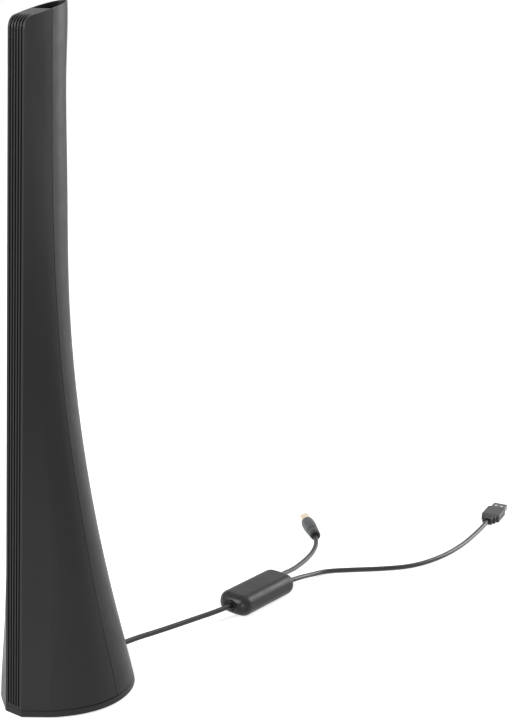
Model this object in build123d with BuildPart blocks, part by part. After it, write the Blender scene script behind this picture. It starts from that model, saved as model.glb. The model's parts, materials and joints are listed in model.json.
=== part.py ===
from build123d import *
from math import cos, pi, radians, sin, tan

# An active indoor television antenna: a slim tower on a flared base, a lead from the back of
# the base to an in-line USB power injector, and two leads from the injector, one to a coaxial
# aerial plug and one to a USB-A plug.  Millimetres, +Z up.  The origin is on the floor under
# the middle of the base, +Y points to the back, +X to the right seen from the front.

# ---------------------------------------------------------------- driving dimensions: tower
tower_height = 407.0        # floor to the highest point of the slanted top
base_half_width = 38.6
base_depth = 92.2
wall = 1.8                  # side and rear walls
spine_wall = 3.2            # front wall, deep enough for the grooves
seam_gap = 0.3              # between the front and rear housings, and above the base plate
spine_half_base = 6.2
spine_half_top = 5.85
top_slope = 16.0            # degrees, rising to the back
top_radius = 7.4            # rounded top front corner
top_depth = 36.6            # front to back at the top

groove_count = 5
groove_width = 1.0
groove_pitch = 2.0
groove_depth = 1.6
groove_floor_height = 6.8
groove_run_back = 6.8       # how far the grooves run back over the rounded corner

pocket_depth = 52.0         # open pocket behind the closed part of the top
pocket_floor_thickness = 2.0
pocket_wall = 1.1
bulkhead_thickness = 2.2

foot_height = 1.0           # how far the feet stand out below the base plate
foot_radius = 5.0
foot_recess = 1.0
plate_thickness = 3.8
plate_rim_height = 3.0
plate_rim_thickness = 1.5
edge_softening = 0.5

slide_clearance = 0.3       # pieces that drop into a recess or past a post
rim_clearance = 0.9         # between the housings and the rim of the base plate
press_clearance = 0.05      # screw threads in their pilots

# Cross-sections from the base to above the top.  Each row holds: height as a share of the
# tower height, half width, seam depth and rear depth as shares of the base's, the front
# facet's angle from straight back in degrees, its length, and its narrow strip's width.
STATIONS = [
    (0.000, 1.000, 0.538, 1.000, 53.0, 20.2, 4.2),
    (0.123, 0.840, 0.443, 0.826, 47.0, 20.0, 4.0),
    (0.246, 0.684, 0.356, 0.670, 42.0, 20.0, 3.0),
    (0.369, 0.516, 0.294, 0.558, 35.0, 15.0, 1.5),
    (0.491, 0.373, 0.252, 0.482, 26.0, 11.5, 1.2),
    (0.614, 0.277, 0.228, 0.438, 17.0, 9.0, 1.0),
    (0.737, 0.209, 0.221, 0.430, 9.0, 8.0, 1.0),
    (0.830, 0.199, 0.213, 0.415, 7.0, 7.5, 1.0),
    (0.920, 0.203, 0.206, 0.405, 7.5, 7.2, 1.0),
    (1.015, 0.208, 0.202, 0.397, 8.0, 7.0, 1.0),
]
strip_turn_share = 0.08     # how much the strip turns back from the facet
round_share = 0.5523        # control arm that makes a curve follow a quarter of an ellipse

# ---------------------------------------------------------------- driving dimensions: inside
boss_radius = 3.3
boss_top = 22.0
boss_inset = 10.1           # boss axis in from the base's widest point
boss_rib = 1.6
front_boss_depth = 30.0
rear_boss_depth = 62.0

post_radius = 2.6
post_top = 28.0
post_half_spacing = 15.0
post_depths = (28.0, 54.0)
board_thickness = 1.6

weight_side_clearance = 3.2  # to the housing's bosses
weight_depths = (20.0, 64.0)
weight_bottom = 8.0
weight_thickness = 8.0
weight_corner = 6.0
pad_radius = 4.0
pad_depths = (23.0, 61.0)

antenna_board_depths = (3.6, 15.6)
antenna_board_top_gap = 21.0
guide_rib_heights = (70.0, 130.0, 190.0, 250.0, 310.0)
guide_rib_thickness = 1.6
guide_rib_back = 9.2
guide_slot_clearance = 0.15
foil_thickness = 0.2
foil_depths = ((10.2, 12.2), (13.2, 15.2))
foil_bar_height = 1.2
foil_bar_count = 7

m3_head_radius = 2.75
m3_head_height = 1.8
m3_shank_radius = 1.5
m25_head_radius = 2.1
m25_head_height = 1.4
m25_shank_radius = 1.15

# ---------------------------------------------------------------- driving dimensions: leads
cord_radius = 1.8
cord_exit_height = 8.0
grommet_neck_radius = 2.9
grommet_nose_radius = 3.4
grommet_tip_radius = 2.7
grommet_nose_length = 8.4
bore_clearance = 0.45       # round a cord where it enters a bush or a plug
cord_entry_depth = 2.4      # how far a cord reaches into a bush or a plug

clamp_depths = (76.5, 80.5)
clamp_half_width = 9.0
clamp_screw_x = 6.3
clamp_height = 5.5
clamp_pad_height = 1.2

# Routes of the three free leads, from end to end.  The first and last points lie inside the
# bush or plug that the lead enters.
MAIN_ROUTE = [
    (-0.1, 50.8, 8.0), (1.6, 63.5, 7.9), (6.6, 86.0, 6.9),
    (13.4, 117.0, 6.5), (19.3, 137.0, 7.1), (21.6, 150.5, 7.5),
]
COAX_ROUTE = [
    (19.2, 209.7, 7.6), (18.4, 222.0, 6.6), (15.6, 237.0, 3.4), (13.3, 251.0, 1.8),
    (11.1, 268.0, 1.8), (7.3, 284.0, 2.0), (2.6, 297.0, 3.9), (-5.75, 307.8, 5.6),
]
USB_ROUTE = [
    (30.05, 209.2, 7.6), (31.6, 222.8, 6.6), (31.7, 239.8, 3.2), (34.8, 255.6, 1.8),
    (48.0, 269.8, 1.8), (67.0, 288.4, 1.8), (83.0, 308.7, 1.8), (92.0, 340.0, 1.8),
    (94.0, 374.0, 1.8), (91.8, 404.0, 1.8), (90.4, 424.0, 2.6), (88.45, 438.6, 3.3),
]
run_share = 0.45            # share of the shorter run that each arc may use up

# Injector box: a soft-edged pillow lying on the floor
box_length = 64.0
box_width = 26.0
box_height = 15.0
box_wall = 1.6
box_corner = 7.5
box_edge = 6.8
box_end_bulge = 2.2
box_dish_radius = 9.0
box_dish_depth = 2.2
box_seam_gap = 0.15
box_end_wall = 5.0          # solid round the bushes
box_place = (23.0, 178.9, 0.0)
box_turn = 3.0              # degrees clockwise seen from above
outlet_offset = 5.5
bush_radius = 3.0
bush_mouths = (-30.8, 33.0)  # how far the inlet and the outlets reach along the box
bush_length = 6.0

# Coaxial aerial plug, along its axis from the rear
coax_place = (-4.2, 306.0, 5.5)
coax_turn = 44.0            # degrees anticlockwise seen from above
collar_length = 3.4
collar_radius = 4.0
boot_length = 26.4
boot_rear_radius = 4.3
boot_front_radius = 5.4
boot_widest = (20.0, 27.4)  # stretch of the boot at its full radius
boot_nose_radius = 5.0
boot_grooves = (8.2, 10.6)
boot_groove_width = 0.8
boot_groove_depth = 0.35
ring_radius = 4.75
ring_wall = 0.5
ring_length = 9.3
insulator_length = 3.0
centre_pin_radius = 1.17
centre_pin_length = 5.6

# USB-A plug, along its axis from the rear of its strain relief
usb_place = (88.8, 436.2, 0.0)
usb_turn = 8.5
relief_steps = ((8.0, 5.6, 4.6), (11.4, 6.0, 5.0))   # width, height, length
mould_width = 15.4
mould_height = 6.5
mould_length = 22.0
mould_edge = 0.9
usb_shell_width = 12.0
usb_shell_height = 4.5
usb_shell_wall = 0.3
usb_shell_length = 12.5
usb_window = (2.2, 2.4)
usb_window_offset = 2.5
usb_window_from_tip = 6.4
tongue_height = 1.9
contact_width = 1.0
contact_length = 7.5
contact_thickness = 0.25
contact_xs = (-3.5, -1.0, 1.0, 3.5)

# ---------------------------------------------------------------- worked-out sizes
front_y = -base_depth / 2
top_corner_height = tower_height - top_depth * tan(radians(top_slope))
plate_top = foot_height + plate_thickness
shell_bottom = plate_top + seam_gap
overhang = 0.8              # sections reach this far ahead of their front plane before trimming
seam_overlap = 3.0          # cavities reach this far past the seam
far = 120.0                 # well outside the tower on every side
pocket_top_height = top_corner_height + top_depth / 2 * tan(radians(top_slope))
pocket_floor_top = pocket_top_height - pocket_depth
pocket_floor_bottom = pocket_floor_top - pocket_floor_thickness
boss_x = base_half_width - boss_inset
amp_board_top = post_top + board_thickness
bore_radius = cord_radius + bore_clearance
M3_HEAD = (m3_head_radius, m3_head_height)
M25_HEAD = (m25_head_radius, m25_head_height)
BOTTOM = (Align.CENTER, Align.CENTER, Align.MIN)
TOP = (Align.CENTER, Align.CENTER, Align.MAX)


# ---------------------------------------------------------------- tower sections
def spine_half_width(height):
    return spine_half_base + (spine_half_top - spine_half_base) * height / tower_height


def rear_depth_at(height):
    """Depth of the rear surface low on the tower, between the two lowest stations."""
    low, high = STATIONS[0], STATIONS[1]
    share = height / (high[0] * tower_height)
    return base_depth * (low[3] + (high[3] - low[3]) * share)


def heading(angle):
    """Unit step on the floor plan, turned from straight back towards +X."""
    return Vector(sin(radians(angle)), cos(radians(angle)))


def right_points(station, inset, front_depth):
    """Corners of a section's right front side, and the two arms of the curve that ends it."""
    share, half_share, seam_share, _, angle, length, strip = station
    spine = Vector(spine_half_width(share * tower_height), 0)
    along = heading(angle)
    corner = spine - Vector(along.Y, -along.X) * inset
    start = corner + along * ((front_depth - corner.Y) / along.Y)
    strip_start = corner + along * (length - strip)
    strip_end = strip_start + heading(angle * (1 - strip_turn_share)) * strip
    seam = Vector(half_share * base_half_width - inset, seam_share * base_depth)
    reach = (seam - strip_end).length
    first_arm = strip_end + heading(angle * (1 - 2 * strip_turn_share)) * (0.28 * reach)
    second_arm = seam - Vector(0, 0.4 * reach)
    return start, strip_start, strip_end, first_arm, second_arm, seam


def rear_arms(seam, pole):
    """Arms of the quarter ellipse from a seam point to the rear pole."""
    return seam + Vector(0, (pole.Y - seam.Y) * round_share), pole + Vector(seam.X * round_share, 0)


def placed(points, side=1):
    return [(side * p.X, p.Y + front_y) for p in points]


def draw_front(points):
    """Draw the front of a section: curve, strip and facet on each side, and the spine between."""
    start, strip_start, strip_end, first_arm, second_arm, seam = points
    right = [start, strip_start, strip_end]
    Polyline(placed(reversed(right), -1) + placed(right))
    for side in (1, -1):
        Bezier(placed([strip_end, first_arm, second_arm, seam], side))


def front_section(station, inset, front_depth, past_seam):
    points = right_points(station, inset, front_depth)
    seam = points[-1]
    if past_seam:
        # the curve runs straight from a little past the seam's face, not from on it
        seam = seam + Vector(0, seam_gap)
        points = (*points[:-1], seam)
    with BuildSketch(Plane.XY.offset(station[0] * tower_height)) as section:
        with BuildLine():
            draw_front(points)
            if past_seam:
                back = seam + Vector(0, past_seam)
                Polyline(placed([seam, back]) + placed([back, seam], -1))
            else:
                Line(placed([seam])[0], placed([seam], -1)[0])
        make_face()
    return section.sketch


def rear_section(station, inset, seam_shift, past_seam):
    seam = Vector(station[1] * base_half_width - inset, station[2] * base_depth + seam_shift)
    pole = Vector(0, station[3] * base_depth - inset)
    arms = rear_arms(seam, pole)
    with BuildSketch(Plane.XY.offset(station[0] * tower_height)) as section:
        with BuildLine():
            for side in (1, -1):
                Bezier(placed([seam, arms[0], arms[1], pole], side))
            if past_seam:
                ahead = seam - Vector(0, past_seam)
                Polyline(placed([seam, ahead]) + placed([ahead, seam], -1))
            else:
                Line(placed([seam])[0], placed([seam], -1)[0])
        make_face()
    return section.sketch


def full_section(station, inset):
    points = right_points(station, inset, inset - overhang)
    seam = points[-1]
    pole = Vector(0, station[3] * base_depth - inset)
    arms = rear_arms(seam, pole)
    with BuildSketch(Plane.XY.offset(station[0] * tower_height)) as section:
        with BuildLine():
            draw_front(points)
            for side in (1, -1):
                Bezier(placed([seam, arms[0], arms[1], pole], side))
        make_face()
    return section.sketch


def side_profile(inset):
    """Everything below the slanted top and behind the front plane, drawn on the YZ plane."""
    slope = radians(top_slope)
    corner_height = top_corner_height + inset * tan(slope) - inset / cos(slope)
    with BuildSketch(Plane.YZ) as profile:
        with BuildLine():
            Polyline(
                (front_y + inset, -far),
                (front_y + inset, corner_height),
                (front_y + inset + far, corner_height + far * tan(slope)),
                (front_y + inset + far, -far),
                close=True,
            )
        make_face()
        corner = profile.vertices().group_by(Axis.X)[0].sort_by(Axis.Y)[-1]
        fillet(corner, radius=top_radius - inset)
    return profile.sketch


def slab(bottom, top):
    """A box much wider than the tower between two heights."""
    return Pos(0, 0, (bottom + top) / 2) * Box(2 * far, 2 * far, top - bottom, mode=Mode.PRIVATE)


# ---------------------------------------------------------------- front housing
front_boss_places = [(side * boss_x, front_y + front_boss_depth, 0) for side in (-1, 1)]
rear_boss_places = [(side * boss_x, front_y + rear_boss_depth, 0) for side in (-1, 1)]

with BuildPart() as front_cavity:
    loft(sections=[front_section(s, wall, spine_wall - overhang, seam_overlap) for s in STATIONS])
    extrude(side_profile(spine_wall), amount=far, both=True, mode=Mode.INTERSECT)
    # the closed bulkhead in front of the rear pocket
    bulkhead_front = STATIONS[-1][2] * base_depth - bulkhead_thickness
    with Locations((0, front_y + bulkhead_front, pocket_floor_bottom)):
        Box(2 * far, far, far, align=(Align.CENTER, Align.MIN, Align.MIN), mode=Mode.SUBTRACT)
    # screw bosses, each tied to the side wall by a rib
    for x, y, z in front_boss_places:
        with Locations((x, y, 0)):
            Cylinder(boss_radius, boss_top, align=BOTTOM, mode=Mode.SUBTRACT)
        with Locations((x + (far if x > 0 else -far) / 2, y, 0)):
            Box(far, boss_rib, boss_top, align=BOTTOM, mode=Mode.SUBTRACT)
    # slotted ribs that hold the antenna board upright
    rib_run = guide_rib_back - spine_wall
    slot_half = board_thickness / 2 + guide_slot_clearance
    for height in guide_rib_heights:
        for side in (-1, 1):
            with Locations((side * (slot_half + far / 2), front_y + spine_wall + rib_run / 2, height)):
                Box(far, rib_run + 2 * overhang, guide_rib_thickness, mode=Mode.SUBTRACT)

with BuildPart() as groove_cutter:
    with Locations((0, front_y - overhang, 0)):
        Box(groove_width, groove_run_back + overhang, far + tower_height, align=(Align.CENTER, Align.MIN, Align.MIN))
    extrude(side_profile(groove_depth), amount=far, both=True, mode=Mode.SUBTRACT)
    add(slab(-far, groove_floor_height), mode=Mode.SUBTRACT)

with BuildPart() as front_housing:
    loft(sections=[front_section(s, 0, -overhang, 0) for s in STATIONS])
    extrude(side_profile(0), amount=far, both=True, mode=Mode.INTERSECT)
    add(front_cavity.part, mode=Mode.SUBTRACT)
    with GridLocations(groove_pitch, 0, groove_count, 1):
        add(groove_cutter.part, mode=Mode.SUBTRACT)
    add(slab(-far, shell_bottom), mode=Mode.SUBTRACT)
    with Locations(*front_boss_places):
        Cylinder(m3_shank_radius + press_clearance, boss_top - 2, align=BOTTOM, mode=Mode.SUBTRACT)
front_housing.part.label = "front_housing"
export_step(front_housing.part, "parts/front_housing.step")

# ---------------------------------------------------------------- rear housing
with BuildPart() as rear_cavity:
    loft(sections=[rear_section(s, wall, 0, seam_overlap) for s in STATIONS])
    # solid from the pocket's floor upwards: the pocket is cut on its own
    add(slab(pocket_floor_bottom, tower_height + far), mode=Mode.SUBTRACT)
    for x, y, z in rear_boss_places:
        with Locations((x, y, 0)):
            Cylinder(boss_radius, boss_top, align=BOTTOM, mode=Mode.SUBTRACT)
        with Locations((x + (far if x > 0 else -far) / 2, y, 0)):
            Box(far, boss_rib, boss_top, align=BOTTOM, mode=Mode.SUBTRACT)

with BuildPart() as rear_pocket:
    loft(sections=[rear_section(s, pocket_wall, 0, seam_overlap) for s in STATIONS])
    add(slab(-far, pocket_floor_top), mode=Mode.SUBTRACT)

with BuildPart() as rear_housing:
    loft(sections=[rear_section(s, 0, seam_gap, 0) for s in STATIONS])
    extrude(side_profile(0), amount=far, both=True, mode=Mode.INTERSECT)
    add(rear_cavity.part, mode=Mode.SUBTRACT)
    add(rear_pocket.part, mode=Mode.SUBTRACT)
    add(slab(-far, shell_bottom), mode=Mode.SUBTRACT)
    with Locations(*rear_boss_places):
        Cylinder(m3_shank_radius + press_clearance, boss_top - 2, align=BOTTOM, mode=Mode.SUBTRACT)
    # the notch that the cord grommet sits in
    notch_radius = grommet_neck_radius + slide_clearance
    with BuildSketch(Plane.XZ.offset(-base_depth / 2 - far / 2)):
        with Locations((0, cord_exit_height)):
            Circle(notch_radius)
        with Locations((0, cord_exit_height / 2)):
            Rectangle(2 * notch_radius, cord_exit_height)
    extrude(amount=far / 2 + wall + boss_radius * 3, mode=Mode.SUBTRACT)
rear_housing.part.label = "rear_housing"
export_step(rear_housing.part, "parts/rear_housing.step")

# ---------------------------------------------------------------- base plate and feet
foot_places = [(-15.0, front_y + 17.0), (15.0, front_y + 17.0), (-21.0, front_y + 70.0), (21.0, front_y + 70.0)]
post_places = [(side * post_half_spacing, front_y + depth) for depth in post_depths for side in (-1, 1)]
pad_places = [(0, front_y + depth) for depth in pad_depths]
screw_places = [(x, y) for x, y, z in front_boss_places + rear_boss_places]
clamp_y = front_y + sum(clamp_depths) / 2
clamp_length = clamp_depths[1] - clamp_depths[0]
clamp_screw_places = [(side * clamp_screw_x, clamp_y) for side in (-1, 1)]
clamp_pad_top = plate_top + clamp_pad_height
clamp_top = clamp_pad_top + clamp_height
rim_inset = wall + rim_clearance

with BuildPart() as plate_rim:
    loft(sections=[full_section(s, rim_inset) for s in STATIONS])
    loft(sections=[full_section(s, rim_inset + plate_rim_thickness) for s in STATIONS], mode=Mode.SUBTRACT)
    add(slab(-far, plate_top), mode=Mode.SUBTRACT)
    add(slab(plate_top + plate_rim_height, tower_height + far), mode=Mode.SUBTRACT)
    # it stops behind the front wall
    with Locations((0, front_y + spine_wall + slide_clearance, 0)):
        Box(2 * far, far, 2 * far, align=(Align.CENTER, Align.MAX, Align.CENTER), mode=Mode.SUBTRACT)
    # gaps for the housing bosses and the grommet
    for x, y in screw_places:
        with Locations((x + (far if x > 0 else -far) / 2, y, plate_top)):
            gap = 2 * (boss_radius + slide_clearance)
            Box(far + gap, gap, far, align=BOTTOM, mode=Mode.SUBTRACT)
    with Locations((0, base_depth / 2, plate_top)):
        Box(4 * grommet_neck_radius + 2, 6 * boss_radius, far, align=BOTTOM, mode=Mode.SUBTRACT)

with BuildPart() as base_plate:
    loft(sections=[full_section(s, 0) for s in STATIONS])
    add(slab(plate_top, tower_height + far), mode=Mode.SUBTRACT)
    add(slab(-far, foot_height), mode=Mode.SUBTRACT)
    # flat front, in line with the spine
    with Locations((0, front_y, 0)):
        Box(2 * far, far, 2 * far, align=(Align.CENTER, Align.MAX, Align.CENTER), mode=Mode.SUBTRACT)
    add(plate_rim.part)
    with Locations(*[(x, y, plate_top) for x, y in post_places]):
        Cylinder(post_radius, post_top - plate_top, align=BOTTOM)
    with Locations(*[(x, y, plate_top) for x, y in pad_places]):
        Cylinder(pad_radius, weight_bottom - plate_top, align=BOTTOM)
    with Locations((0, clamp_y, plate_top)):
        Box(2 * clamp_half_width, clamp_length, clamp_pad_height, align=BOTTOM)
    with Locations(*[(x, y, foot_height) for x, y in foot_places]):
        Cylinder(foot_radius + slide_clearance / 2, foot_recess, align=BOTTOM, mode=Mode.SUBTRACT)
    # base screws: clearance hole and head recess from below
    with Locations(*[(x, y, 0) for x, y in screw_places]):
        Cylinder(m3_shank_radius + slide_clearance, far, align=BOTTOM, mode=Mode.SUBTRACT)
        Cylinder(
            m3_head_radius + slide_clearance,
            foot_height + m3_head_height + slide_clearance,
            align=BOTTOM,
            mode=Mode.SUBTRACT,
        )
    # pilots for the screws that come down from above
    with Locations(*[(x, y, post_top) for x, y in post_places]):
        Cylinder(m25_shank_radius + press_clearance, 16, mode=Mode.SUBTRACT)
    with Locations(*[(x, y, weight_bottom) for x, y in pad_places]):
        Cylinder(m3_shank_radius + press_clearance, 10, mode=Mode.SUBTRACT)
    with Locations(*[(x, y, clamp_pad_top) for x, y in clamp_screw_places]):
        Cylinder(m25_shank_radius + press_clearance, 8, mode=Mode.SUBTRACT)
base_plate.part.label = "base_plate"
export_step(base_plate.part, "parts/base_plate.step")

with BuildPart() as rubber_feet:
    with Locations(*[(x, y, 0) for x, y in foot_places]):
        Cylinder(foot_radius, foot_height + foot_recess, align=BOTTOM)
    fillet(rubber_feet.faces().group_by(Axis.Z)[0].edges(), radius=foot_height / 2)
rubber_feet.part.label = "rubber_feet"
export_step(rubber_feet.part, "parts/rubber_feet.step")


def draw_screws(places, seat_height, head, shank_radius, shank_length, up=True):
    """Pan-head screws seated at seat_height, with a cross recess; up says where the heads are."""
    head_radius, head_height = head
    head_side, shank_side = (BOTTOM, TOP) if up else (TOP, BOTTOM)
    head_end = seat_height + (head_height if up else -head_height)
    for x, y in places:
        with Locations((x, y, seat_height)):
            Cylinder(head_radius, head_height, align=head_side)
            Cylinder(shank_radius, shank_length, align=shank_side)
        with Locations((x, y, head_end)):
            Box(1.2 * head_radius, 0.3 * head_radius, head_height, mode=Mode.SUBTRACT)
            Box(0.3 * head_radius, 1.2 * head_radius, head_height, mode=Mode.SUBTRACT)


base_screw_seat = foot_height + m3_head_height + slide_clearance
base_screw_length = boss_top - 4 - base_screw_seat
with BuildPart() as base_screws:
    draw_screws(screw_places, base_screw_seat, M3_HEAD, m3_shank_radius, base_screw_length, up=False)
base_screws.part.label = "base_screws"
export_step(base_screws.part, "parts/base_screws.step")

# ---------------------------------------------------------------- ballast, clamp, grommet
weight_half_width = boss_x - boss_radius - weight_side_clearance
weight_middle_y = front_y + sum(weight_depths) / 2
weight_top = weight_bottom + weight_thickness
with BuildPart() as base_weight:
    with BuildSketch(Plane.XY.offset(weight_bottom)):
        with Locations((0, weight_middle_y)):
            RectangleRounded(2 * weight_half_width, weight_depths[1] - weight_depths[0], weight_corner)
        with Locations(*post_places):
            Circle(post_radius + slide_clearance, mode=Mode.SUBTRACT)
        with Locations(*pad_places):
            Circle(m3_shank_radius + slide_clearance, mode=Mode.SUBTRACT)
    extrude(amount=weight_thickness)
    chamfer(base_weight.faces().sort_by(Axis.Z)[-1].outer_wire().edges(), length=edge_softening)
base_weight.part.label = "base_weight"
export_step(base_weight.part, "parts/base_weight.step")

with BuildPart() as weight_screws:
    draw_screws(pad_places, weight_top, M3_HEAD, m3_shank_radius, weight_thickness + 4)
weight_screws.part.label = "weight_screws"
export_step(weight_screws.part, "parts/weight_screws.step")

with BuildPart() as cable_clamp:
    with Locations((0, clamp_y, clamp_pad_top)):
        Box(2 * clamp_half_width, clamp_length, clamp_height, align=BOTTOM)
    fillet(cable_clamp.edges().filter_by(Axis.Y).group_by(Axis.Z)[-1], radius=1.5)
    lead_slot = 2 * (cord_radius + press_clearance)
    with BuildSketch(Plane.XZ.offset(-clamp_y)):
        with Locations((0, cord_exit_height)):
            Circle(lead_slot / 2)
        with Locations((0, cord_exit_height / 2)):
            Rectangle(lead_slot, cord_exit_height)
    extrude(amount=clamp_length, both=True, mode=Mode.SUBTRACT)
    with Locations(*[(x, y, clamp_pad_top) for x, y in clamp_screw_places]):
        Cylinder(m25_shank_radius + slide_clearance / 2, far, mode=Mode.SUBTRACT)
cable_clamp.part.label = "cable_clamp"
export_step(cable_clamp.part, "parts/cable_clamp.step")

with BuildPart() as clamp_screws:
    draw_screws(clamp_screw_places, clamp_top, M25_HEAD, m25_shank_radius, clamp_height + 3)
clamp_screws.part.label = "clamp_screws"
export_step(clamp_screws.part, "parts/clamp_screws.step")

# The grommet is turned about the lead's axis: inner flange, neck in the notch, ribbed nose
outer_wall_low = rear_depth_at(shell_bottom) - base_depth / 2
inner_wall_high = rear_depth_at(cord_exit_height + grommet_neck_radius + 1) - wall - base_depth / 2
flange_half_width = 1.5 * grommet_neck_radius
rear_half_width = base_half_width - wall
rear_bulge = base_depth * (STATIONS[0][3] - STATIONS[0][2]) - wall
wall_curve = rear_bulge * (1 - (1 - (flange_half_width / rear_half_width) ** 2) ** 0.5)
flange_back = inner_wall_high - wall_curve - 2 * slide_clearance
nose_start = outer_wall_low + slide_clearance
nose_end = nose_start + grommet_nose_length
flange_thickness = 1.5
grommet_plane = Plane(origin=(0, 0, cord_exit_height), x_dir=(1, 0, 0), z_dir=(0, 1, 0))
with BuildPart() as cord_grommet:
    with BuildSketch(grommet_plane.offset(flange_back)):
        Circle(grommet_neck_radius)
    extrude(amount=nose_start - flange_back)
    with BuildSketch(grommet_plane.offset(flange_back)):
        with Locations((0, -0.6)):
            RectangleRounded(2 * flange_half_width, 2.5 * grommet_neck_radius, 0.8)
    extrude(amount=-flange_thickness)
    with BuildSketch(grommet_plane.offset(nose_start)):
        Circle(grommet_nose_radius)
    with BuildSketch(grommet_plane.offset(nose_end)):
        Circle(grommet_tip_radius)
    loft()
    # relief grooves round the nose
    groove_step = grommet_nose_length / 4
    for ring in range(1, 4):
        with BuildSketch(grommet_plane.offset(nose_start + ring * groove_step)):
            Circle(grommet_nose_radius + 1)
            Circle(grommet_tip_radius - 0.15, mode=Mode.SUBTRACT)
        extrude(amount=0.7, both=False, mode=Mode.SUBTRACT)
    with BuildSketch(grommet_plane.offset(nose_end)):
        Circle(bore_radius)
    extrude(amount=-cord_entry_depth - 1, mode=Mode.SUBTRACT)
    add(slab(-far, plate_top), mode=Mode.SUBTRACT)
cord_grommet.part.label = "cord_grommet"
export_step(cord_grommet.part, "parts/cord_grommet.step")

# ---------------------------------------------------------------- boards
amp_half_width = 19.0
amp_depths = (20.0, 60.0)
amp_tongue_half_width = 6.0
amp_tongue_front = 4.0
with BuildPart() as amplifier_board:
    with BuildSketch(Plane.XY.offset(post_top)):
        with Locations((0, front_y + sum(amp_depths) / 2)):
            Rectangle(2 * amp_half_width, amp_depths[1] - amp_depths[0])
        with Locations((0, front_y + (amp_tongue_front + amp_depths[0]) / 2)):
            Rectangle(2 * amp_tongue_half_width, amp_depths[0] - amp_tongue_front)
        with Locations(*post_places):
            Circle(m25_shank_radius + slide_clearance / 2, mode=Mode.SUBTRACT)
    extrude(amount=board_thickness)
amplifier_board.part.label = "amplifier_board"
export_step(amplifier_board.part, "parts/amplifier_board.step")

with BuildPart() as board_screws:
    draw_screws(post_places, amp_board_top, M25_HEAD, m25_shank_radius, board_thickness + 6)
board_screws.part.label = "board_screws"
export_step(board_screws.part, "parts/board_screws.step")

can_size = (20.0, 18.0, 6.0)
can_wall = 0.4
can_y = front_y + 36.0
with BuildPart() as shield_can:
    with Locations((0, can_y, amp_board_top)):
        Box(*can_size, align=BOTTOM)
        Box(
            can_size[0] - 2 * can_wall,
            can_size[1] - 2 * can_wall,
            can_size[2] - can_wall,
            align=BOTTOM,
            mode=Mode.SUBTRACT,
        )
shield_can.part.label = "shield_can"
export_step(shield_can.part, "parts/shield_can.step")

with BuildPart() as amplifier_parts:
    with Locations((-4, can_y - 3, amp_board_top), (4, can_y + 3, amp_board_top)):
        Box(5, 4.4, 1.4, align=BOTTOM)
    with GridLocations(3, 0, 4, 1):
        with Locations((0, can_y + 6, amp_board_top), (0, can_y - 6.4, amp_board_top)):
            Box(1.6, 0.9, 0.8, align=BOTTOM)
    with Locations((-13.8, can_y + 8, amp_board_top), (13.8, can_y + 2, amp_board_top)):
        Cylinder(2.5, 5.4, align=BOTTOM)
amplifier_parts.part.label = "amplifier_parts"
export_step(amplifier_parts.part, "parts/amplifier_parts.step")

# The lead from the grommet through the clamp to a connector block on the amplifier board
feed_block = (8.0, 8.0, 6.0)
feed_block_back = front_y + amp_depths[1] + 1.0
inner_lead_radius = 7.0
inner_lead_rise_y = clamp_y - clamp_length / 2 - inner_lead_radius - 1.0
inner_lead_top = amp_board_top + feed_block[2] / 2
with BuildPart() as feed_connector:
    with Locations((0, feed_block_back, amp_board_top)):
        Box(*feed_block, align=(Align.CENTER, Align.MAX, Align.MIN))
    fillet(feed_connector.edges().filter_by(Axis.Z), radius=0.6)
feed_connector.part.label = "feed_connector"
export_step(feed_connector.part, "parts/feed_connector.step")

with BuildPart() as inner_lead:
    with BuildLine() as inner_path:
        FilletPolyline(
            (0, flange_back - flange_thickness, cord_exit_height),
            (0, inner_lead_rise_y, cord_exit_height),
            (0, inner_lead_rise_y, inner_lead_top),
            (0, feed_block_back, inner_lead_top),
            radius=inner_lead_radius,
        )
    with BuildSketch(Plane(origin=inner_path.line @ 0, z_dir=inner_path.line % 0)):
        Circle(cord_radius)
    sweep()
inner_lead.part.label = "inner_lead"
export_step(inner_lead.part, "parts/inner_lead.step")

antenna_board_bottom = amp_board_top
antenna_board_top = tower_height - antenna_board_top_gap
antenna_board_width = antenna_board_depths[1] - antenna_board_depths[0]
with BuildPart() as antenna_board:
    with Locations((0, front_y + antenna_board_depths[0], antenna_board_bottom)):
        Box(
            board_thickness,
            antenna_board_width,
            antenna_board_top - antenna_board_bottom,
            align=(Align.CENTER, Align.MIN, Align.MIN),
        )
antenna_board.part.label = "antenna_board"
export_step(antenna_board.part, "parts/antenna_board.step")

# Copper elements on the board's faces: two long strips joined by bars, split for two dipoles
foil_bottom = antenna_board_bottom + 20.0
foil_top = antenna_board_top - 8.0
foil_gap = 4.0
foil_middle = (foil_bottom + foil_top) / 2
foil_spans = ((foil_bottom, foil_middle - foil_gap / 2), (foil_middle + foil_gap / 2, foil_top))
with BuildPart() as antenna_elements:
    for side in (-1, 1):
        face_x = side * (board_thickness + foil_thickness) / 2
        for low, high in foil_spans:
            for near, away in foil_depths:
                with Locations((face_x, front_y + (near + away) / 2, (low + high) / 2)):
                    Box(foil_thickness, away - near, high - low)
            between = (foil_depths[0][1] + foil_depths[1][0]) / 2
            for bar in range(foil_bar_count):
                height = low + (high - low) * (bar + 0.5) / foil_bar_count
                with Locations((face_x, front_y + between, height)):
                    Box(foil_thickness, foil_depths[1][0] - foil_depths[0][1] + 1, foil_bar_height)
antenna_elements.part.label = "antenna_elements"
export_step(antenna_elements.part, "parts/antenna_elements.step")

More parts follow.
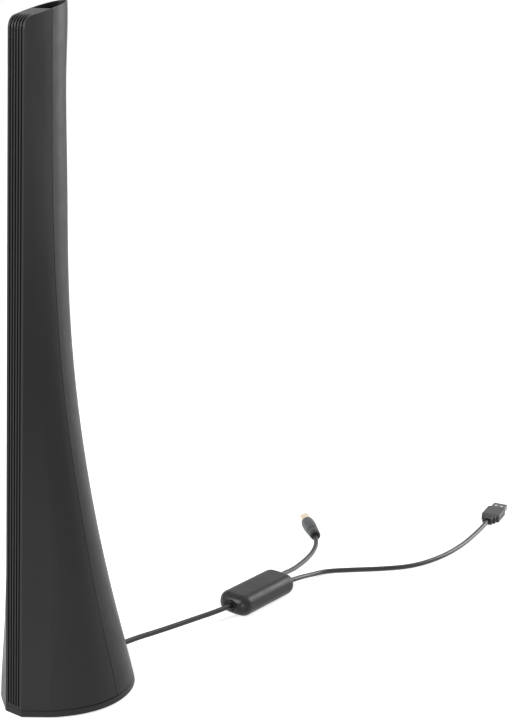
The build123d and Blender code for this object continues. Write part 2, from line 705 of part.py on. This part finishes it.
# ---------------------------------------------------------------- free leads
def lead_path(name, route):
    """Straight runs joined by arcs, each as large as its two runs allow."""
    points = [Vector(*point) for point in route]
    radii = []
    for before, corner, after in zip(points, points[1:], points[2:]):
        run_in = corner - before
        run_out = after - corner
        half_turn = radians(run_in.get_angle(run_out)) / 2
        radii.append(run_share * min(run_in.length, run_out.length) / tan(half_turn))
    with BuildLine() as path:
        FilletPolyline(*points, radius=radii)
    wire = path.wires()[0]
    bends = " ".join(f"{radius:.0f}" for radius in radii)
    print(f"{name}: bend radii {bends} mm, length {wire.length:.1f} mm")
    return wire


main_path = lead_path("main_cord", MAIN_ROUTE)
with BuildPart() as main_cord:
    with BuildSketch(Plane(origin=main_path @ 0, z_dir=main_path % 0)):
        Circle(cord_radius)
    sweep(path=main_path)
main_cord.part.label = "main_cord"
export_step(main_cord.part, "parts/main_cord.step")

coax_path = lead_path("coax_cord", COAX_ROUTE)
with BuildPart() as coax_cord:
    with BuildSketch(Plane(origin=coax_path @ 0, z_dir=coax_path % 0)):
        Circle(cord_radius)
    sweep(path=coax_path)
coax_cord.part.label = "coax_cord"
export_step(coax_cord.part, "parts/coax_cord.step")

usb_path = lead_path("usb_cord", USB_ROUTE)
with BuildPart() as usb_cord:
    with BuildSketch(Plane(origin=usb_path @ 0, z_dir=usb_path % 0)):
        Circle(cord_radius)
    sweep(path=usb_path)
usb_cord.part.label = "usb_cord"
export_step(usb_cord.part, "parts/usb_cord.step")

for lead, path in ((main_cord, main_path), (coax_cord, coax_path), (usb_cord, usb_path)):
    share = lead.part.volume / (pi * cord_radius**2 * path.length)
    print(f"{lead.part.label}: volume over section times length {share:.4f}")

# ---------------------------------------------------------------- injector box
box_forward = heading(box_turn)
box_frame = Plane(origin=box_place, x_dir=(box_forward.Y, -box_forward.X, 0), z_dir=(0, 0, 1))
box_middle = box_height / 2
box_half_length = box_length / 2
bush_hole_radius = bush_radius + slide_clearance / 3
# place across the box, mouth along it, and which way each bush faces
BUSHES = [(0, bush_mouths[0], -1), (-outlet_offset, bush_mouths[1], 1), (outlet_offset, bush_mouths[1], 1)]


def in_box(x, y, z):
    """A place given across, along and above the floor of the box."""
    return box_frame.from_local_coords((x, y, z))


def bush_plane(x, y, facing):
    """Upright plane across a bush, its normal pointing out of the box."""
    return Plane(origin=in_box(x, y, box_middle), x_dir=box_frame.x_dir, z_dir=box_frame.y_dir * facing)


with BuildPart() as box_hollow:
    with BuildSketch(box_frame.offset(box_wall)):
        RectangleRounded(box_width - 2 * box_wall, box_length - 2 * box_end_wall, box_corner - box_wall)
    extrude(amount=box_height - 2 * box_wall)
    rims = box_hollow.faces().sort_by(Axis.Z)
    fillet(rims[0].edges() + rims[-1].edges(), radius=box_edge - box_wall)

with BuildPart() as box_shell:
    with BuildSketch(box_frame) as box_outline:
        with BuildLine():
            corner = (box_width / 2, box_half_length - box_end_bulge)
            Line((corner[0], -corner[1]), corner)
            ThreePointArc(corner, (0, box_half_length), (-corner[0], corner[1]))
            Line((-corner[0], corner[1]), (-corner[0], -corner[1]))
            ThreePointArc((-corner[0], -corner[1]), (0, -box_half_length), (corner[0], -corner[1]))
        make_face()
        fillet(box_outline.vertices(), radius=box_corner)
    extrude(amount=box_height)
    rims = box_shell.faces().sort_by(Axis.Z)
    fillet(rims[0].edges() + rims[-1].edges(), radius=box_edge)
    # the dish round the lead from the tower
    with Locations(in_box(0, box_dish_depth - box_half_length - box_dish_radius, box_middle)):
        Sphere(box_dish_radius, mode=Mode.SUBTRACT)
    add(box_hollow.part, mode=Mode.SUBTRACT)
    # the holes for the bushes
    for x, y, facing in BUSHES:
        with BuildSketch(bush_plane(x, y, facing)):
            Circle(bush_hole_radius)
        extrude(amount=bush_length, both=True, mode=Mode.SUBTRACT)

injector_board_size = (19.0, 46.0)
injector_board_bottom = 5.0
injector_post_grid = (14.0, 38.0)
injector_post_radius = 2.0
with BuildPart() as injector_bottom:
    add(box_shell.part)
    split(bisect_by=Plane.XY.offset(box_middle - box_seam_gap / 2), keep=Keep.BOTTOM)
    with BuildSketch(box_frame.offset(box_wall / 2)):
        with GridLocations(*injector_post_grid, 2, 2):
            Circle(injector_post_radius)
    extrude(amount=injector_board_bottom - box_wall / 2)
injector_bottom.part.label = "injector_bottom"
export_step(injector_bottom.part, "parts/injector_bottom.step")

with BuildPart() as injector_top:
    add(box_shell.part)
    split(bisect_by=Plane.XY.offset(box_middle + box_seam_gap / 2), keep=Keep.TOP)
injector_top.part.label = "injector_top"
export_step(injector_top.part, "parts/injector_top.step")

with BuildPart() as injector_bushes:
    for x, y, facing in BUSHES:
        with BuildSketch(bush_plane(x, y, facing)):
            Circle(bush_radius)
        extrude(amount=-bush_length)
        with BuildSketch(bush_plane(x, y, facing)):
            Circle(bore_radius)
        extrude(amount=-cord_entry_depth - 1, mode=Mode.SUBTRACT)
injector_bushes.part.label = "injector_bushes"
export_step(injector_bushes.part, "parts/injector_bushes.step")

with BuildPart() as injector_board:
    with BuildSketch(box_frame.offset(injector_board_bottom)):
        Rectangle(*injector_board_size)
    extrude(amount=board_thickness)
injector_board.part.label = "injector_board"
export_step(injector_board.part, "parts/injector_board.step")

with BuildPart() as injector_parts:
    injector_board_top = box_frame.offset(injector_board_bottom + board_thickness)
    # a coil
    with BuildSketch(injector_board_top):
        with Locations((0, 2)):
            Circle(5.0)
            Circle(2.2, mode=Mode.SUBTRACT)
    extrude(amount=3.2)
    # two capacitors
    with BuildSketch(injector_board_top):
        with Locations((-4.5, -13), (5, -12)):
            Circle(2.0)
    extrude(amount=4.0)
    # a chip
    with BuildSketch(injector_board_top):
        with Locations((0, 14)):
            Rectangle(5, 4)
    extrude(amount=1.5)
    # small parts
    with BuildSketch(injector_board_top):
        with Locations((-6.6, 15), (6.6, 15), (0, -18)):
            Rectangle(1.8, 3)
    extrude(amount=1.0)
injector_parts.part.label = "injector_parts"
export_step(injector_parts.part, "parts/injector_parts.step")

# ---------------------------------------------------------------- coaxial aerial plug
# Turned pieces, drawn with x along the plug from its rear and y out from its axis
coax_heading = heading(-coax_turn)
coax_across = (coax_heading.Y, -coax_heading.X, 0)
coax_along = (coax_heading.X, coax_heading.Y, 0)
coax_plane = Plane(origin=coax_place, x_dir=coax_along, z_dir=coax_across)
coax_axis = Axis(coax_place, coax_along)
boot_end = collar_length + boot_length


def draw_ring(start, length, inner, outer):
    """Half section of a sleeve, or of a rod when the inner radius is nought."""
    with Locations((start, inner)):
        Rectangle(length, outer - inner, align=(Align.MIN, Align.MIN))


def boot_radius_at(distance):
    share = (distance - collar_length) / (boot_widest[0] - collar_length)
    return boot_rear_radius + (boot_front_radius - boot_rear_radius) * share


with BuildPart() as coax_plug_collar:
    with BuildSketch(coax_plane):
        draw_ring(0, cord_entry_depth + 0.4, bore_radius, collar_radius)
        draw_ring(cord_entry_depth + 0.4, collar_length - cord_entry_depth - 0.4, 0, collar_radius)
    revolve(axis=coax_axis)
coax_plug_collar.part.label = "coax_plug_collar"
export_step(coax_plug_collar.part, "parts/coax_plug_collar.step")

with BuildPart() as coax_plug_boot:
    with BuildSketch(coax_plane) as boot_profile:
        with BuildLine():
            Polyline(
                (collar_length, 0),
                (collar_length, boot_rear_radius),
                (boot_widest[0], boot_front_radius),
                (boot_widest[1], boot_front_radius),
                (boot_end, boot_nose_radius),
                (boot_end, 0),
                close=True,
            )
        make_face()
        fillet(boot_profile.vertices().sort_by(Axis.Y)[2:], radius=0.3)
        for place in boot_grooves:
            with Locations((place, boot_radius_at(place) - boot_groove_depth)):
                Rectangle(boot_groove_width, 2, align=(Align.CENTER, Align.MIN), mode=Mode.SUBTRACT)
    revolve(axis=coax_axis)
coax_plug_boot.part.label = "coax_plug_boot"
export_step(coax_plug_boot.part, "parts/coax_plug_boot.step")

with BuildPart() as coax_plug_ring:
    with BuildSketch(coax_plane):
        draw_ring(boot_end, ring_length, ring_radius - ring_wall, ring_radius)
    revolve(axis=coax_axis)
coax_plug_ring.part.label = "coax_plug_ring"
export_step(coax_plug_ring.part, "parts/coax_plug_ring.step")

with BuildPart() as coax_plug_insulator:
    with BuildSketch(coax_plane):
        draw_ring(boot_end, insulator_length, 0, ring_radius - ring_wall - press_clearance)
    revolve(axis=coax_axis)
coax_plug_insulator.part.label = "coax_plug_insulator"
export_step(coax_plug_insulator.part, "parts/coax_plug_insulator.step")

with BuildPart() as coax_plug_pin:
    with BuildSketch(coax_plane) as pin_profile:
        draw_ring(boot_end + insulator_length, centre_pin_length, 0, centre_pin_radius)
        chamfer(pin_profile.vertices().group_by(Axis.Y)[-1].sort_by(Axis.X)[-1], length=0.5)
    revolve(axis=coax_axis)
coax_plug_pin.part.label = "coax_plug_pin"
export_step(coax_plug_pin.part, "parts/coax_plug_pin.step")

# ---------------------------------------------------------------- USB-A plug
usb_heading = heading(-usb_turn)
usb_rear = Plane(
    origin=(usb_place[0], usb_place[1], mould_height / 2),
    x_dir=(-usb_heading.Y, usb_heading.X, 0),
    z_dir=(usb_heading.X, usb_heading.Y, 0),
)
mould_start = sum(step[2] for step in relief_steps)
mould_end = mould_start + mould_length


def usb_at(distance):
    """Upright plane across the plug, this far ahead of its rear; y is up."""
    return usb_rear.offset(distance)


with BuildPart() as usb_relief:
    step_start = 0
    for width, height, length in relief_steps:
        with BuildSketch(usb_at(step_start)):
            RectangleRounded(width, height, mould_edge)
        extrude(amount=length)
        step_start += length
    with BuildSketch(usb_at(0)):
        Circle(bore_radius)
    extrude(amount=cord_entry_depth + 1, mode=Mode.SUBTRACT)
usb_relief.part.label = "usb_relief"
export_step(usb_relief.part, "parts/usb_relief.step")

with BuildPart() as usb_mould:
    with BuildSketch(usb_at(mould_start)):
        Rectangle(mould_width, mould_height)
    extrude(amount=mould_length)
    fillet(usb_mould.edges(), radius=mould_edge)
usb_mould.part.label = "usb_mould"
export_step(usb_mould.part, "parts/usb_mould.step")

usb_inner_width = usb_shell_width - 2 * usb_shell_wall
usb_inner_height = usb_shell_height - 2 * usb_shell_wall
with BuildPart() as usb_shell:
    with BuildSketch(usb_at(mould_end)):
        RectangleRounded(usb_shell_width, usb_shell_height, 2 * usb_shell_wall)
        RectangleRounded(usb_inner_width, usb_inner_height, usb_shell_wall, mode=Mode.SUBTRACT)
    extrude(amount=usb_shell_length)
    with BuildSketch(usb_at(mould_end + usb_shell_length - usb_window_from_tip)):
        with GridLocations(2 * usb_window_offset, 0, 2, 1):
            Rectangle(usb_window[0], 2 * usb_shell_height)
    extrude(amount=usb_window[1] / 2, both=True, mode=Mode.SUBTRACT)
usb_shell.part.label = "usb_shell"
export_step(usb_shell.part, "parts/usb_shell.step")

tongue_width = usb_inner_width - 0.5
tongue_length = usb_shell_length - 0.8
tongue_bottom = press_clearance - usb_inner_height / 2
tongue_top = tongue_bottom + tongue_height
with BuildPart() as usb_tongue:
    with BuildSketch(usb_at(mould_end)):
        with Locations((0, tongue_bottom)):
            Rectangle(tongue_width, tongue_height, align=(Align.CENTER, Align.MIN))
    extrude(amount=tongue_length)
usb_tongue.part.label = "usb_tongue"
export_step(usb_tongue.part, "parts/usb_tongue.step")

with BuildPart() as usb_contacts:
    with BuildSketch(usb_at(mould_end + tongue_length - contact_length - 0.8)):
        with Locations(*[(x, tongue_top) for x in contact_xs]):
            Rectangle(contact_width, contact_thickness, align=(Align.CENTER, Align.MIN))
    extrude(amount=contact_length)
usb_contacts.part.label = "usb_contacts"
export_step(usb_contacts.part, "parts/usb_contacts.step")
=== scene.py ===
import json
import math

import bpy
from mathutils import Matrix, Vector


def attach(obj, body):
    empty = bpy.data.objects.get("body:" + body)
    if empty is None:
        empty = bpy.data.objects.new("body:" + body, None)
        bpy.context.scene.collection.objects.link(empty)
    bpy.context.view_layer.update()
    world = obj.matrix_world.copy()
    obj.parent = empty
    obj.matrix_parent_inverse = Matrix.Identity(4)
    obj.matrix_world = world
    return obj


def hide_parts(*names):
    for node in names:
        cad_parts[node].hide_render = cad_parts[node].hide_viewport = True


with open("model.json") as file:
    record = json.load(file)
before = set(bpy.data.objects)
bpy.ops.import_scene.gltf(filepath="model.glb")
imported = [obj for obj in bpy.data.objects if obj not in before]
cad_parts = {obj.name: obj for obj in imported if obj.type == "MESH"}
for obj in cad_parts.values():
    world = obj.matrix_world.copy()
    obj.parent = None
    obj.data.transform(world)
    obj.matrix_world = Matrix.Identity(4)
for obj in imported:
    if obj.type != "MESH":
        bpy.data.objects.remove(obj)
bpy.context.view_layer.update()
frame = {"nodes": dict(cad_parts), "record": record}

# An active indoor television antenna: charcoal tower, injector box on the lead, aerial plug
# and USB plug.  Metres, +Z up, origin on the floor under the middle of the base.

nodes = frame["nodes"]
scene = bpy.context.scene
MM = 0.001

# ------------------------------------------------------------------ camera
CAMERA_PLACE = Vector((0.4852, -0.5567, 0.3890))
CAMERA_HEADING = math.radians(32.83)   # turned anticlockwise from +Y, seen from above
CAMERA_DOWN = math.radians(13.63)
CAMERA_ROLL = math.radians(2.76)
SENSOR_HEIGHT = 36.0
LENS = 65.145

across = Vector((math.cos(CAMERA_HEADING), math.sin(CAMERA_HEADING), 0))
ahead = Vector((-math.sin(CAMERA_HEADING), math.cos(CAMERA_HEADING), 0))
view_line = ahead * math.cos(CAMERA_DOWN) - Vector((0, 0, math.sin(CAMERA_DOWN)))
upright = ahead * math.sin(CAMERA_DOWN) + Vector((0, 0, math.cos(CAMERA_DOWN)))
picture_right = across * math.cos(CAMERA_ROLL) + upright * math.sin(CAMERA_ROLL)
picture_up = upright * math.cos(CAMERA_ROLL) - across * math.sin(CAMERA_ROLL)

camera_data = bpy.data.cameras.new("camera")
camera_data.sensor_fit = "VERTICAL"
camera_data.sensor_height = SENSOR_HEIGHT
camera_data.lens = LENS
camera_data.clip_start = 0.01
camera_data.clip_end = 60
camera = bpy.data.objects.new("camera", camera_data)
scene.collection.objects.link(camera)
turn = Matrix((picture_right, picture_up, -view_line)).transposed().to_4x4()
camera.matrix_world = Matrix.Translation(CAMERA_PLACE) @ turn
scene.camera = camera

# ------------------------------------------------------------------ free leads
CORD_RADIUS = 1.8 * MM
MAIN_ROUTE = [
    (-0.1, 50.8, 8.0), (1.6, 63.5, 7.9), (6.6, 86.0, 6.9),
    (13.4, 117.0, 6.5), (19.3, 137.0, 7.1), (21.6, 150.5, 7.5),
]
COAX_ROUTE = [
    (19.2, 209.7, 7.6), (18.4, 222.0, 6.6), (15.6, 237.0, 3.4), (13.3, 251.0, 1.8),
    (11.1, 268.0, 1.8), (7.3, 284.0, 2.0), (2.6, 297.0, 3.9), (-5.75, 307.8, 5.6),
]
USB_ROUTE = [
    (30.05, 209.2, 7.6), (31.6, 222.8, 6.6), (31.7, 239.8, 3.2), (34.8, 255.6, 1.8),
    (48.0, 269.8, 1.8), (67.0, 288.4, 1.8), (83.0, 308.7, 1.8), (92.0, 340.0, 1.8),
    (94.0, 374.0, 1.8), (91.8, 404.0, 1.8), (90.4, 424.0, 2.6), (88.45, 438.6, 3.3),
]


def lead(name, route):
    """A round lead on a smooth NURBS line with the route's points as its control points."""
    data = bpy.data.curves.new(name, "CURVE")
    data.dimensions = "3D"
    spline = data.splines.new("NURBS")
    spline.points.add(len(route) - 1)
    for point, (x, y, z) in zip(spline.points, route):
        point.co = (x * MM, y * MM, z * MM, 1)
        point.radius = CORD_RADIUS
    spline.order_u = 3
    spline.use_endpoint_u = True
    spline.resolution_u = 16
    data.bevel_depth = 1.0   # times each point's radius
    data.bevel_resolution = 8
    data.use_fill_caps = True
    piece = bpy.data.objects.new(name, data)
    scene.collection.objects.link(piece)
    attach(piece, "root")
    return piece


main_lead = lead("main_lead", MAIN_ROUTE)
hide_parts("main_cord")

coax_lead = lead("coax_lead", COAX_ROUTE)
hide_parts("coax_cord")

usb_lead = lead("usb_lead", USB_ROUTE)
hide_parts("usb_cord")


# ------------------------------------------------------------------ materials
class Shader:
    """A node material with a Principled surface, built up one step at a time."""

    def __init__(self, name, roughness=0.5, metallic=0.0, specular=0.5):
        self.material = bpy.data.materials.new(name)
        self.material.use_nodes = True
        self.tree = self.material.node_tree
        self.surface = self.tree.nodes["Principled BSDF"]
        self.surface.inputs["Roughness"].default_value = roughness
        self.surface.inputs["Metallic"].default_value = metallic
        self.surface.inputs["Specular IOR Level"].default_value = specular
        self.place = self.node("ShaderNodeTexCoord").outputs["Object"]

    def node(self, kind, **settings):
        made = self.tree.nodes.new(kind)
        for key, value in settings.items():
            setattr(made, key, value)
        return made

    def put(self, socket, value):
        if isinstance(value, bpy.types.NodeSocket):
            self.tree.links.new(value, socket)
        else:
            socket.default_value = value

    def stretched(self, scale):
        """Object coordinates stretched by a factor on each axis."""
        mapping = self.node("ShaderNodeMapping")
        self.put(mapping.inputs["Vector"], self.place)
        mapping.inputs["Scale"].default_value = scale
        return mapping.outputs["Vector"]

    def noise(self, scale, detail=2.0, roughness=0.5, vector=None):
        made = self.node("ShaderNodeTexNoise")
        self.put(made.inputs["Vector"], vector or self.place)
        made.inputs["Scale"].default_value = scale
        made.inputs["Detail"].default_value = detail
        made.inputs["Roughness"].default_value = roughness
        return made.outputs["Fac"]

    def cells(self, scale, feature="F1", vector=None):
        made = self.node("ShaderNodeTexVoronoi", feature=feature)
        self.put(made.inputs["Vector"], vector or self.place)
        made.inputs["Scale"].default_value = scale
        return made.outputs["Distance"]

    def spread(self, value, low, high, start=0.0, end=1.0):
        """The value's stretch from start to end, spread between low and high."""
        made = self.node("ShaderNodeMapRange")
        self.put(made.inputs["Value"], value)
        made.inputs["From Min"].default_value = start
        made.inputs["From Max"].default_value = end
        made.inputs["To Min"].default_value = low
        made.inputs["To Max"].default_value = high
        return made.outputs["Result"]

    def math(self, operation, first, second):
        made = self.node("ShaderNodeMath", operation=operation)
        self.put(made.inputs[0], first)
        self.put(made.inputs[1], second)
        return made.outputs[0]

    def blend(self, factor, first, second):
        made = self.node("ShaderNodeMix", data_type="RGBA")
        self.put(made.inputs["Factor"], factor)
        for socket, colour in ((made.inputs[6], first), (made.inputs[7], second)):
            self.put(socket, colour if isinstance(colour, bpy.types.NodeSocket) else (*colour, 1))
        return made.outputs[2]

    def colour(self, value):
        self.put(self.surface.inputs["Base Color"], value)

    def roughness(self, value):
        self.put(self.surface.inputs["Roughness"], value)

    def bump(self, *layers):
        """Stacks (height, depth in metres) layers into the surface's normal."""
        normal = None
        for height, depth in layers:
            made = self.node("ShaderNodeBump")
            made.inputs["Strength"].default_value = 1.0
            made.inputs["Distance"].default_value = depth
            self.put(made.inputs["Height"], height)
            if normal is not None:
                self.put(made.inputs["Normal"], normal)
            normal = made.outputs["Normal"]
        self.put(self.surface.inputs["Normal"], normal)


def shade(colour, factor):
    return tuple(channel * factor for channel in colour)


def moulded(name, colour, roughness, grain=2600, depth=0.012 * MM, specular=0.5, dust=0.06):
    """Moulded plastic: spark-textured grain, soft colour drift, faint handling marks and dust."""
    made = Shader(name, specular=specular)
    drift = made.noise(14, 3.0)
    fine = made.noise(900, 2.0)
    toned = made.blend(made.spread(drift, 0, 1, 0.3, 0.7), shade(colour, 0.93), shade(colour, 1.07))
    speck = made.spread(fine, 0, dust, 0.55, 0.75)
    made.colour(made.blend(speck, toned, shade(colour, 1.9)))
    marks = made.noise(60, 4.0, 0.65)
    made.roughness(made.math(
        "ADD", made.spread(marks, -0.05, 0.05, 0.3, 0.7), made.spread(fine, roughness - 0.03, roughness + 0.03)))
    made.bump((made.noise(grain, 2.0, 0.6), depth), (made.noise(45, 1.0), depth * 1.5))
    return made.material


def rubbery(name, colour, roughness, depth=0.02 * MM):
    """Soft rubber or jacket: satin, with fine pores and a little bloom."""
    made = Shader(name, specular=0.45)
    bloom = made.noise(80, 4.0, 0.6)
    made.colour(made.blend(made.spread(bloom, 0, 1, 0.35, 0.7), colour, shade(colour, 1.25)))
    made.roughness(made.spread(made.noise(220, 3.0), roughness - 0.06, roughness + 0.06, 0.3, 0.7))
    made.bump((made.noise(1800, 2.0), depth * 0.5), (made.noise(160, 2.0), depth))
    return made.material


def metal(name, colour, roughness, scratch=(40, 40, 1200), tarnish=0.12, depth=0.004 * MM):
    """Plated or bare metal with fine drawn marks and a trace of tarnish."""
    made = Shader(name, metallic=1.0)
    drawn = made.noise(3, 3.0, 0.6, made.stretched(scratch))
    stain = made.noise(180, 4.0, 0.6)
    made.colour(made.blend(made.spread(stain, 0, tarnish, 0.4, 0.8), colour, shade(colour, 0.55)))
    made.roughness(made.spread(drawn, roughness - 0.05, roughness + 0.08, 0.3, 0.7))
    made.bump((drawn, depth))
    return made.material


def cast(name, colour):
    """Sand-cast iron: coarse skin, dark in its pits."""
    made = Shader(name, roughness=0.75, specular=0.4)
    skin = made.noise(500, 5.0, 0.65)
    made.colour(made.blend(made.spread(skin, 0, 1, 0.35, 0.65), shade(colour, 0.6), shade(colour, 1.2)))
    made.roughness(made.spread(skin, 0.65, 0.85, 0.3, 0.7))
    made.bump((skin, 0.15 * MM), (made.noise(2500, 2.0), 0.03 * MM))
    return made.material


def circuit(name):
    """Green solder resist over copper tracks."""
    made = Shader(name, specular=0.6)
    tracks = made.cells(420, "DISTANCE_TO_EDGE")
    track = made.spread(tracks, 1, 0, 0.03, 0.06)
    resist = made.blend(made.spread(made.noise(120, 3.0), 0, 1), (0.010, 0.085, 0.035), (0.014, 0.115, 0.048))
    made.colour(made.blend(track, resist, (0.03, 0.20, 0.07)))
    made.roughness(made.spread(made.noise(300, 2.0), 0.28, 0.42))
    made.bump((track, 0.03 * MM))
    return made.material


def copper(name, colour):
    made = Shader(name, metallic=1.0)
    bloom = made.noise(90, 4.0, 0.7)
    made.colour(made.blend(made.spread(bloom, 0, 0.6, 0.4, 0.8), colour, shade(colour, 0.4)))
    made.roughness(made.spread(bloom, 0.3, 0.55))
    made.bump((made.noise(900, 2.0), 0.01 * MM))
    return made.material


FINISHES = {
    "tower_plastic": moulded("tower_plastic", (0.0125, 0.0127, 0.0135), 0.42, specular=0.2),
    "box_plastic": moulded("box_plastic", (0.010, 0.0102, 0.0110), 0.38, 3000, 0.008 * MM, specular=0.3),
    "black_rubber": rubbery("black_rubber", (0.010, 0.010, 0.011), 0.55),
    "lead_jacket": rubbery("lead_jacket", (0.010, 0.0103, 0.0112), 0.34),
    "boot_grey": moulded("boot_grey", (0.044, 0.047, 0.052), 0.42, 2600, 0.01 * MM),
    "usb_mould_grey": moulded("usb_mould_grey", (0.022, 0.0225, 0.024), 0.45, 2600, 0.01 * MM),
    "screw_steel": metal("screw_steel", (0.62, 0.62, 0.63), 0.32, (300, 300, 300)),
    "ballast_iron": cast("ballast_iron", (0.10, 0.10, 0.105)),
    "natural_nylon": moulded("natural_nylon", (0.62, 0.60, 0.52), 0.5),
    "circuit_board": circuit("circuit_board"),
    "tinned_steel": metal("tinned_steel", (0.72, 0.72, 0.70), 0.30, (900, 30, 30)),
    "component_body": moulded("component_body", (0.022, 0.022, 0.024), 0.5, 4000),
    "copper_foil": copper("copper_foil", (0.80, 0.42, 0.24)),
    "plug_brass": metal("plug_brass", (0.80, 0.70, 0.52), 0.14, (60, 60, 60), 0.15),
    "white_insulator": moulded("white_insulator", (0.70, 0.68, 0.60), 0.4),
    "tongue_black": moulded("tongue_black", (0.012, 0.012, 0.012), 0.35),
    "usb_shell_steel": metal("usb_shell_steel", (0.075, 0.075, 0.08), 0.20, (30, 900, 900), 0.2),
}

for entry in frame["record"]["subparts"]:
    slots = nodes[entry["node"]].data.materials
    finish = FINISHES[entry["material_slot"]]
    if len(slots) == 0:
        slots.append(finish)
    for index in range(len(slots)):
        slots[index] = finish
for piece in (main_lead, coax_lead, usb_lead):
    piece.data.materials.append(FINISHES["lead_jacket"])

# ------------------------------------------------------------------ floor and light
FLOOR_HALF = 12.0
floor_mesh = bpy.data.meshes.new("floor")
floor_mesh.from_pydata(
    [(-FLOOR_HALF, -FLOOR_HALF, 0), (FLOOR_HALF, -FLOOR_HALF, 0),
     (FLOOR_HALF, FLOOR_HALF, 0), (-FLOOR_HALF, FLOOR_HALF, 0)], [], [(0, 1, 2, 3)])
floor = bpy.data.objects.new("floor", floor_mesh)
scene.collection.objects.link(floor)


def seen_directly(tree):
    """1 for camera, mirror-like and transmitted rays, 0 for the rest."""
    path = tree.nodes.new("ShaderNodeLightPath")
    total = path.outputs["Is Camera Ray"]
    for name in ("Is Glossy Ray", "Is Transmission Ray"):
        larger = tree.nodes.new("ShaderNodeMath")
        larger.operation = "MAXIMUM"
        tree.links.new(total, larger.inputs[0])
        tree.links.new(path.outputs[name], larger.inputs[1])
        total = larger.outputs[0]
    return total


floor_material = bpy.data.materials.new("floor")
floor_material.use_nodes = True
tree = floor_material.node_tree
tree.nodes.clear()
out = tree.nodes.new("ShaderNodeOutputMaterial")
diffuse = tree.nodes.new("ShaderNodeBsdfDiffuse")
diffuse.inputs["Color"].default_value = (0.80, 0.80, 0.80, 1)
glow = tree.nodes.new("ShaderNodeEmission")
glow_level = tree.nodes.new("ShaderNodeMath")
glow_level.operation = "MULTIPLY"
coordinates = tree.nodes.new("ShaderNodeTexCoord")
distance = tree.nodes.new("ShaderNodeVectorMath")
distance.operation = "LENGTH"
tree.links.new(coordinates.outputs["Object"], distance.inputs[0])
fade = tree.nodes.new("ShaderNodeMapRange")
for name, value in (("From Min", 0.8), ("From Max", 2.5), ("To Min", 0.72), ("To Max", 1.0)):
    fade.inputs[name].default_value = value
tree.links.new(distance.outputs["Value"], fade.inputs["Value"])
tree.links.new(seen_directly(tree), glow_level.inputs[0])
tree.links.new(fade.outputs["Result"], glow_level.inputs[1])
tree.links.new(glow_level.outputs[0], glow.inputs["Strength"])
both = tree.nodes.new("ShaderNodeAddShader")
tree.links.new(diffuse.outputs[0], both.inputs[0])
tree.links.new(glow.outputs[0], both.inputs[1])
tree.links.new(both.outputs[0], out.inputs["Surface"])
floor_mesh.materials.append(floor_material)

world = bpy.data.worlds.new("world")
scene.world = world
world.use_nodes = True
tree = world.node_tree
background = tree.nodes["Background"]
background.inputs["Color"].default_value = (1, 1, 1, 1)
level = tree.nodes.new("ShaderNodeMapRange")
level.inputs["To Min"].default_value = 0.165
level.inputs["To Max"].default_value = 1.0
tree.links.new(seen_directly(tree), level.inputs["Value"])
tree.links.new(level.outputs["Result"], background.inputs["Strength"])


def softbox(name, place, aim, size, power):
    data = bpy.data.lights.new(name, "AREA")
    data.shape = "RECTANGLE"
    data.size, data.size_y = size
    data.energy = power
    lamp = bpy.data.objects.new(name, data)
    lamp.location = place
    lamp.rotation_euler = (Vector(aim) - Vector(place)).to_track_quat("-Z", "Y").to_euler()
    scene.collection.objects.link(lamp)


softbox("key", (-0.62, -1.25, 1.05), (0, 0, 0.3), (0.7, 0.6), 29)
softbox("base_front", (0.92, -1.5, 0.12), (0, 0, 0.05), (0.5, 0.4), 13)
softbox("rear_side", (0.66, 1.5, 0.75), (0, 0.05, 0.2), (0.6, 1.3), 19)
softbox("overhead", (0.1, 0.7, 1.9), (0.05, 0.2, 0), (1.2, 1.2), 3)

scene.view_settings.view_transform = "Standard"
